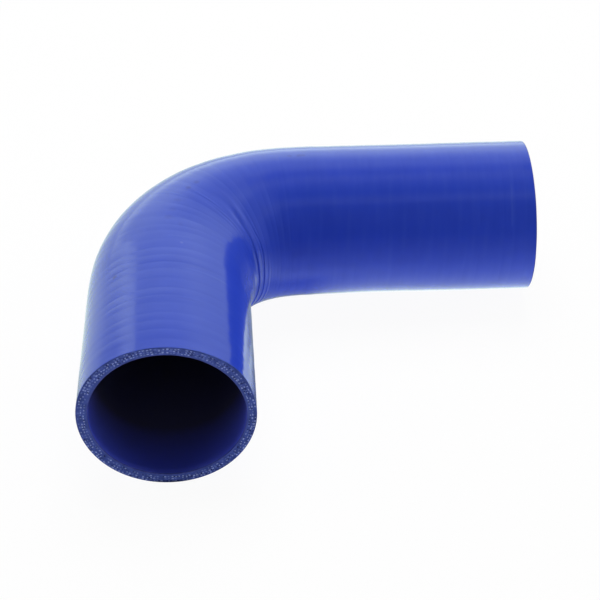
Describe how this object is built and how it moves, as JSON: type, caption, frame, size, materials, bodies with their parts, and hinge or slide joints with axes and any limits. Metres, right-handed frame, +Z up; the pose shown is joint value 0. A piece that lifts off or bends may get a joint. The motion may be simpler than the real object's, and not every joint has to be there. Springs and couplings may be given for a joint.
{
  "type": "elbow coolant hose",
  "caption": "Right-angle moulded silicone hose with square-cut ends and one leg longer than the other; it joins two pipe stubs and carries coolant round a corner.",
  "frame": {"origin": "under the middle of the hose's box, on the surface that the hose lies on", "axes": "+X along the longer leg towards its cut end, -Y along the shorter leg towards its cut end, +Z up; the bend lies in a plane parallel to XY"},
  "size_m": [0.2, 0.17, 0.07],
  "materials": {
    "silicone": "smooth glossy blue silicone with fine wrap lines; dull cut ends that show fabric plies"
  },
  "bodies": {
    "root": {"elbow_hose": "silicone"}
  },
  "joints": []
}
